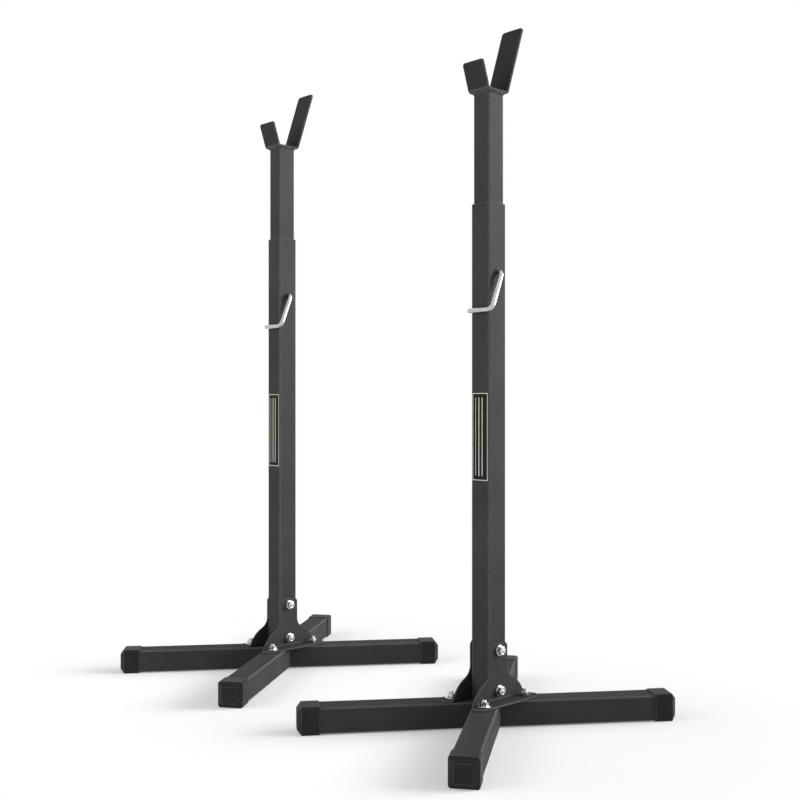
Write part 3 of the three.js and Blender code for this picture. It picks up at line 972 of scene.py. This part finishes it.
def powder_coat(name, shade=1.0):
    """Satin black powder coat: orange peel, faint dust, edges rubbed pale with a painted highlight, and a
    painted sheen in bends and on corners. A shade below 1 paints the whole coat darker, as painted shade.
    """
    material, paint = new_paint(name)
    place = paint.place()
    peel = paint.noise(place, scale=950)
    flow = paint.noise(place, scale=160)
    cloud = paint.noise(place, scale=9, detail=3)
    fleck = paint.noise(place, scale=2600, detail=1).between(low=0.66, high=0.74)
    patches = paint.noise(place, scale=210, detail=3).between(low=0.35, high=0.65)
    # Rubbed edges, lighter in colour: wear, and also a painted highlight along the edges
    rub_and_highlight = paint.worn_and_highlit_edges(radius=1.0 * MM) * patches.at_least(RUB_AND_HIGHLIGHT_LEAST)
    deep, dusty = (
        (shade * red, shade * green, shade * blue, alpha)
        for red, green, blue, alpha in (COAT_DEEP, COAT_DUSTY)
    )
    base = paint.mixed(cloud.between(low=0.35, high=0.7), deep, dusty)
    base = paint.mixed(fleck * FLECK_SHARE, base, COAT_FLECK)
    # Painted sheen: a pale painted highlight in bends and on rounded corners, noted at the points
    bend = paint.node("ShaderNodeAttribute", {"attribute_name": "bend"}, output="Fac")
    base = paint.mixed(bend * patches.at_least(BEND_SHEEN_LEAST), base, COAT_BEND_SHEEN)
    base = paint.mixed(rub_and_highlight * RUB_AND_HIGHLIGHT_SHARE * shade, base, COAT_RUB_AND_HIGHLIGHT)
    normal = paint.bumped(flow, strength=0.10, distance=0.3 * MM)
    normal = paint.bumped(peel, strength=0.16, distance=0.2 * MM, below=normal)
    shader = paint.surface(
        Base_Color=base,
        Roughness=COAT_ROUGHNESS + cloud * CLOUD_ROUGHNESS + peel * GRAIN_ROUGHNESS - rub_and_highlight * RUB_POLISH,
        Normal=normal,
        Specular_IOR_Level=0.07,
    )
    paint.output(shader)
    return material


def cap_plastic():
    """Moulded black plastic with a fine grain and edges rubbed pale, which is also a painted highlight along
    them.
    """
    material, paint = new_paint("cap_plastic")
    place = paint.place()
    grain = paint.noise(place, scale=2300)
    cloud = paint.noise(place, scale=30, detail=3)
    # Rubbed edges, lighter in colour: wear, and also a painted highlight along the edges
    worn_and_highlit = paint.worn_and_highlit_edges(radius=1.3 * MM)
    patches = paint.noise(place, scale=300).between(low=0.4, high=0.6)
    rub_and_highlight = worn_and_highlit * patches.at_least(RUB_AND_HIGHLIGHT_LEAST)
    base = paint.mixed(cloud.between(low=0.3, high=0.7), CAP_DEEP, CAP_DUSTY)
    base = paint.mixed(rub_and_highlight * RUB_AND_HIGHLIGHT_SHARE, base, CAP_RUB_AND_HIGHLIGHT)
    shader = paint.surface(
        Base_Color=base,
        Roughness=CAP_ROUGHNESS + cloud * CLOUD_ROUGHNESS + grain * GRAIN_ROUGHNESS,
        Normal=paint.bumped(grain, strength=0.12, distance=0.12 * MM),
        Specular_IOR_Level=0.1,
    )
    paint.output(shader)
    return material


def zinc_steel():
    """Bright zinc plating, blotchy and a little dulled, with fine tool marks."""
    material, paint = new_paint("zinc_steel")
    place = paint.place()
    blotch = paint.noise(place, scale=420, detail=4, roughness=0.6)
    marks = paint.noise(paint.stretched(place, TOOL_MARKS))
    grime = paint.noise(place, scale=900, detail=3).between(low=0.58, high=0.78)
    base = paint.mixed(blotch.between(low=0.3, high=0.7), ZINC_COLD, ZINC_WARM)
    base = paint.mixed(grime * GRIME_SHARE, base, ZINC_GRIME)
    shader = paint.surface(
        Base_Color=base,
        Metallic=1.0,
        Roughness=ZINC_ROUGHNESS + blotch * DIRT_ROUGHNESS + grime * DIRT_ROUGHNESS,
        Normal=paint.bumped(marks, strength=0.10, distance=0.06 * MM),
    )
    paint.output(shader)
    return material


def pin_steel():
    """Bright drawn rod with fine lines along its length."""
    material, paint = new_paint("pin_steel")
    grain = paint.node("ShaderNodeAttribute", {"attribute_name": "grain"}, output="Vector")
    lines = paint.noise(paint.stretched(grain, ROD_LINES), detail=3)
    smear = paint.noise(paint.stretched(grain, ROD_SMEAR), detail=3)
    base = paint.mixed(smear.between(low=0.3, high=0.7), PIN_COLD, PIN_PALE)
    shader = paint.surface(
        Base_Color=base,
        Metallic=1.0,
        Roughness=PIN_ROUGHNESS + smear * SMEAR_ROUGHNESS + lines * GRAIN_ROUGHNESS,
        Normal=paint.bumped(lines, strength=0.10, distance=0.05 * MM),
    )
    paint.output(shader)
    return material


def label_vinyl():
    """Black vinyl, glossier than the coat, with a faint ripple."""
    material, paint = new_paint("label_vinyl")
    ripple = paint.noise(paint.place(), scale=240)
    shader = paint.surface(
        Base_Color=paint.mixed(ripple, VINYL_DEEP, VINYL_PALE),
        Roughness=VINYL_ROUGHNESS + ripple * CLOUD_ROUGHNESS,
        Normal=paint.bumped(ripple, strength=0.08, distance=0.2 * MM),
        Specular_IOR_Level=0.08,
    )
    paint.output(shader)
    return material


def label_print():
    """Pale print, white below and yellow above, and worn in places."""
    material, paint = new_paint("label_print")
    place = paint.place()
    wear = paint.noise(place, scale=700, detail=4, roughness=0.6)
    height = paint.node("ShaderNodeSeparateXYZ", inputs={0: place}, output="Z")
    upper = height.between(INK_TURN - INK_TURN_HALF, INK_TURN + INK_TURN_HALF)
    ink = paint.mixed(upper, INK_WHITE, INK_YELLOW)
    shader = paint.surface(
        Base_Color=paint.mixed(wear.between(low=0.62, high=0.8), ink, INK_WORN),
        Roughness=PRINT_ROUGHNESS + wear * SMEAR_ROUGHNESS,
        Normal=paint.bumped(wear, strength=0.06, distance=0.1 * MM),
    )
    paint.output(shader)
    return material


COAT = powder_coat("powder_coat")
# A darker copy of the coat for the saddle: painted shade
SADDLE_SHADED_COAT = powder_coat("saddle_painted_shade_coat", SADDLE_PAINTED_SHADE)
PLASTIC = cap_plastic()
ZINC = zinc_steel()
PIN = pin_steel()
VINYL = label_vinyl()
PRINT = label_print()


# Putting the stands together


def make_piece(name, form, finish, body, grain=None):
    """A finished piece that rides on a body."""
    piece = plain_object(name, form)
    # Coated pieces get the painted sheen on their bends and rounded corners
    if finish in (COAT, SADDLE_SHADED_COAT):
        mark_bend_sheen(piece)
    if grain is not None:
        layer = piece.data.attributes.new("grain", "FLOAT_VECTOR", "POINT")
        layer.data.foreach_set("vector", grain.astype(np.float32).ravel())
    piece.data.materials.append(finish)
    piece.data.polygons.foreach_set("use_smooth", [True] * len(piece.data.polygons))
    piece.data.set_sharp_from_angle(angle=SHARP_ANGLE)
    weight = piece.modifiers.new("even_shading", "WEIGHTED_NORMAL")
    weight.keep_sharp = True
    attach(piece, body)
    return piece


def stand_in(node, form, finish, body, grain=None):
    """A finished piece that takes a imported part's place."""
    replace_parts(make_piece(f"{node}_fine", form, finish, body, grain), node)


def slab(x, z, width, height, front, thickness):
    """A thin upright rectangle on the post's front, with eased edges."""
    half = np.array([width / 2, height / 2])
    ease = min(PRINT_EDGE, thickness / 3)
    rings = []
    for inset, depth in ((0, 0), (0, thickness - ease), (ease, thickness)):
        w, h = half - inset
        rings.append([(x + u * w, front - depth, z + v * h) for u, v in SQUARE])
    return loft(rings)


def label_pieces():
    """A plain label's backing, and its print: a square-cornered border round three stripes."""
    front = -POST_HALF
    middle = (LABEL_LOW + LABEL_HIGH) / 2
    height = LABEL_HIGH - LABEL_LOW
    backing = slab(0, middle, LABEL_WIDTH, height, front, LABEL_THICKNESS)
    line = LABEL_LINE
    border_w, border_h = LABEL_WIDTH - 2 * LABEL_MARGIN, height - 2 * LABEL_MARGIN
    bars = []
    for side in (-1, 1):
        bars.append((side * (border_w - line) / 2, middle, line, border_h))
        bars.append((0, middle + side * (border_h - line) / 2, border_w - 2 * line, line))
    bars += [(x, middle, width, border_h - LABEL_STRIPE_GAPS) for x, width in LABEL_STRIPES]
    return backing, together([slab(*bar, front - LABEL_THICKNESS, PRINT_THICKNESS) for bar in bars])


FOOT_BOLT = foot_bolt()
PLAIN_NUT, WASHER_NUT = foot_nut(False), foot_nut(True)
CORNERS = {
    "rear_right": (LEG_ANGLE, PLAIN_NUT),
    "front_left": (LEG_ANGLE + math.pi, WASHER_NUT),
    "rear_left": (math.pi - LEG_ANGLE, PLAIN_NUT),
    "front_right": (-LEG_ANGLE, WASHER_NUT),
}
POST_SIDES = {"right": 0, "left": math.pi}
LONG_LEG, SHORT_LEG, CAP = long_leg(), short_leg(), leg_cap()
OUTER_POST, INNER_POST = outer_post(), inner_post()
BRACKET, SADDLE, BEAD = bracket(), bar_saddle(), weld_bead()
POST_BOLT, POST_NUT, POST_WASHER = post_bolt(), post_nut(), post_washer()
PIN_FORM, PIN_GRAIN = height_pin()
LABEL, LABEL_PRINT = label_pieces()

for side, x in STAND_X.items():
    stand, mast, pin = f"{side}_stand", f"{side}_mast", f"{side}_pin"
    stand_in(f"{side}_long_leg", LONG_LEG.turned(LEG_ANGLE).moved(x), COAT, stand)
    stand_in(f"{side}_rear_leg", SHORT_LEG.turned(math.pi - LEG_ANGLE).moved(x), COAT, stand)
    stand_in(f"{side}_front_leg", SHORT_LEG.turned(-LEG_ANGLE).moved(x), COAT, stand)
    for corner, (angle, foot_nut_form) in CORNERS.items():
        stand_in(f"{side}_cap_{corner}", CAP.turned(angle).moved(x), PLASTIC, stand)
        stand_in(f"{side}_foot_bolt_{corner}", FOOT_BOLT.turned(angle).moved(x), ZINC, stand)
        stand_in(f"{side}_foot_nut_{corner}", foot_nut_form.turned(angle).moved(x), ZINC, stand)
    stand_in(f"{side}_outer_post", OUTER_POST.moved(x), COAT, stand)
    for place, turn in POST_SIDES.items():
        stand_in(f"{side}_bracket_{place}", BRACKET.turned(turn).moved(x), COAT, stand)
    for row, height in POST_BOLT_HEIGHTS.items():
        stand_in(f"{side}_post_bolt_{row}", POST_BOLT.moved(x, z=height), ZINC, stand)
        stand_in(f"{side}_post_nut_{row}", POST_NUT.moved(x, z=height), ZINC, stand)
        for place, turn in POST_SIDES.items():
            ring = POST_WASHER.turned(turn).moved(x, z=height)
            stand_in(f"{side}_post_washer_{row}_{place}", ring, ZINC, stand)
    make_piece(f"{side}_label", LABEL.moved(x), VINYL, stand)
    make_piece(f"{side}_label_print", LABEL_PRINT.moved(x), PRINT, stand)
    stand_in(f"{side}_inner_post", INNER_POST.moved(x), COAT, mast)
    stand_in(f"{side}_bar_saddle", SADDLE.moved(x), SADDLE_SHADED_COAT, mast)
    make_piece(f"{side}_saddle_weld", BEAD.moved(x), COAT, mast)
    stand_in(f"{side}_height_pin", PIN_FORM.moved(x), PIN, pin, PIN_GRAIN)


# Floor, world and lamps

FLOOR_HALF = 30.0
FLOOR_GREY = (0.80, 0.80, 0.80, 1)
FLOOR_LIFT = 0.24
WORLD_FILL = 0.3
WHITE = (1, 1, 1, 1)

# The floor turns white between these distances from a stand's middle
FLOOR_FADE = (0.28, 0.60)


def seen_directly(paint):
    """1 for what the camera, a reflection or a clear surface looks at, and 0 for light on things."""
    rays = [
        paint.node("ShaderNodeLightPath", output=ray)
        for ray in ("Is Camera Ray", "Is Glossy Ray", "Is Transmission Ray")
    ]
    total = rays[0] + rays[1] + rays[2]
    return total.maths("MINIMUM", total, 1.0)


def studio_floor():
    """A pale floor that keeps the stands' shadows and turns white away from them."""
    material, paint = new_paint("studio_floor")
    folded = paint.node("ShaderNodeVectorMath", {"operation": "ABSOLUTE"}, {0: paint.place()})
    inputs = {0: folded, 1: (STAND_X["right"], 0, 0)}
    beside = paint.node("ShaderNodeVectorMath", {"operation": "DISTANCE"}, inputs, "Value")
    far = beside.between(*FLOOR_FADE)
    pale = paint.node("ShaderNodeBsdfDiffuse", inputs={"Color": FLOOR_GREY})
    lift = paint.node("ShaderNodeEmission", inputs={"Strength": FLOOR_LIFT})
    lifted = paint.node("ShaderNodeAddShader", inputs={0: pale, 1: lift})
    white = paint.node("ShaderNodeEmission", inputs={"Strength": 1.0})
    near_or_far = paint.node("ShaderNodeMixShader", inputs={0: far, 1: lifted, 2: white})
    inputs = {0: seen_directly(paint), 1: pale, 2: near_or_far}
    paint.output(paint.node("ShaderNodeMixShader", inputs=inputs))
    mesh = bpy.data.meshes.new("studio_floor")
    mesh.from_pydata([(u * FLOOR_HALF, v * FLOOR_HALF, 0) for u, v in SQUARE], [], [(0, 1, 2, 3)])
    mesh.materials.append(material)
    floor = bpy.data.objects.new("studio_floor", mesh)
    bpy.context.scene.collection.objects.link(floor)


def studio_world():
    """White to the camera and in reflections, and a softer fill on the stands."""
    world = bpy.data.worlds.new("studio")
    world.use_nodes = True
    bpy.context.scene.world = world
    paint = Paint(world.node_tree)
    fill = paint.node("ShaderNodeBackground", inputs={"Color": WHITE, "Strength": WORLD_FILL})
    white = paint.node("ShaderNodeBackground", inputs={"Color": WHITE, "Strength": 1.0})
    mixed = paint.node("ShaderNodeMixShader", inputs={0: seen_directly(paint), 1: fill, 2: white})
    paint.output(mixed, "ShaderNodeOutputWorld")


def soft_box(name, place, target, watts, size, in_reflections=False, spread=None):
    """A rectangular lamp that looks from its place to a target."""
    data = bpy.data.lights.new(name, "AREA")
    data.energy = watts
    data.shape = "RECTANGLE"
    data.size, data.size_y = size
    if spread:
        data.spread = spread
    made = bpy.data.objects.new(name, data)
    made.location = place
    made.visible_glossy = in_reflections
    made.rotation_euler = (Vector(target) - Vector(place)).to_track_quat("-Z", "Y").to_euler()
    bpy.context.scene.collection.objects.link(made)


studio_floor()
studio_world()
soft_box(
    "side_box", place=(2.0, 2.7, 2.0), target=(-0.3, 0, 1.45), watts=62, size=(3.0, 2.4),
    in_reflections=True, spread=math.radians(60),
)
soft_box("side_high", place=(2.3, 1.9, 2.1), target=(0.1, 0, 1.2), watts=32, size=(2.4, 2.4))
soft_box("front_box", place=(-1.2, -2.8, 1.25), target=(-0.3, 0, 0.9), watts=77, size=(3.0, 2.4))

bpy.context.scene.view_settings.view_transform = "Standard"
